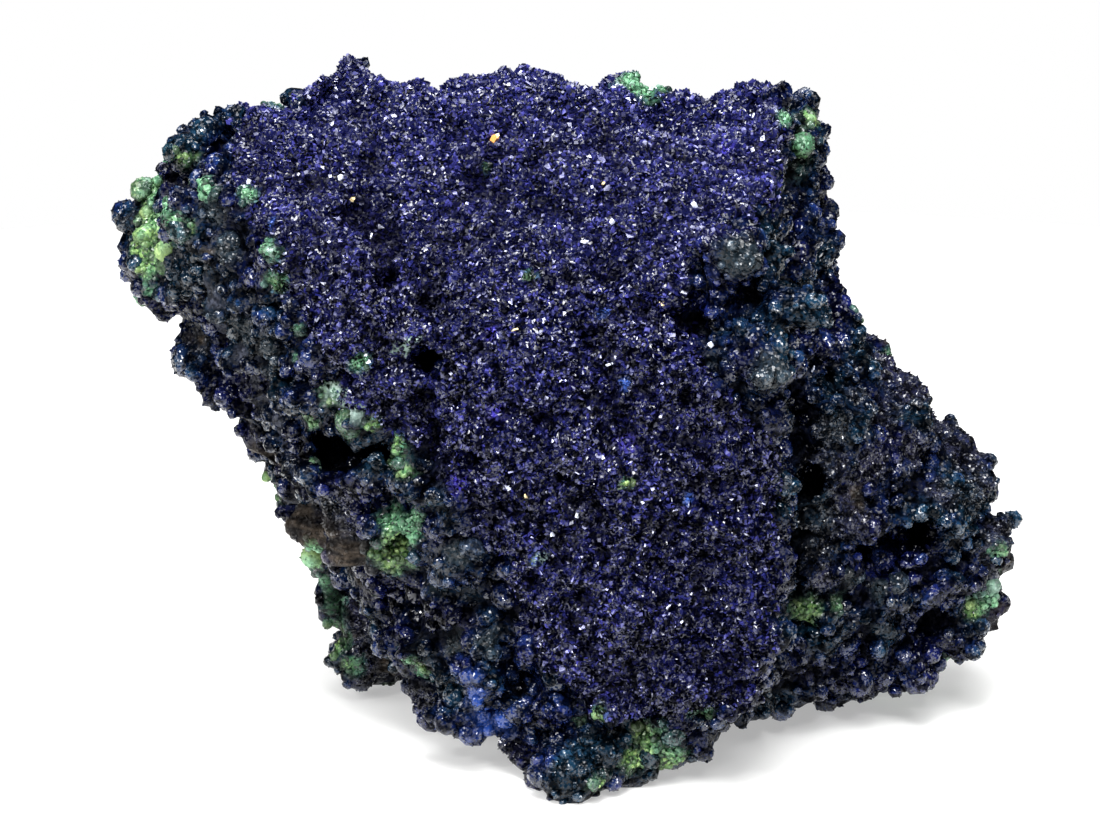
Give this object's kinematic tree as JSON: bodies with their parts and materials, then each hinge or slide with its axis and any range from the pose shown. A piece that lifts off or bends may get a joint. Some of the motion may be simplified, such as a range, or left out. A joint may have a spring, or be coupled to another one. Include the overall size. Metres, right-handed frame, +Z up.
{
  "type": "azurite specimen",
  "caption": "Free-standing lump of dark matrix rock under a glittering violet-blue azurite crust, with grape-like flanks, pits and green malachite patches.",
  "frame": {"origin": "centre of the bounding box in X and Y, on the plane of the feet", "axes": "+X to the right and +Y to the back for someone who faces the crystal plate, +Z up"},
  "size_m": [0.0798, 0.0456, 0.0612],
  "materials": {
    "azurite": "vitreous azurite crust, dark violet-blue to navy, with small flat crystal faces",
    "malachite": "satin to dull malachite in small balls and patches",
    "matrix": "dull brown-grey matrix rock between the crusts"
  },
  "bodies": {
    "root": {"azurite_specimen": "azurite"}
  },
  "joints": []
}
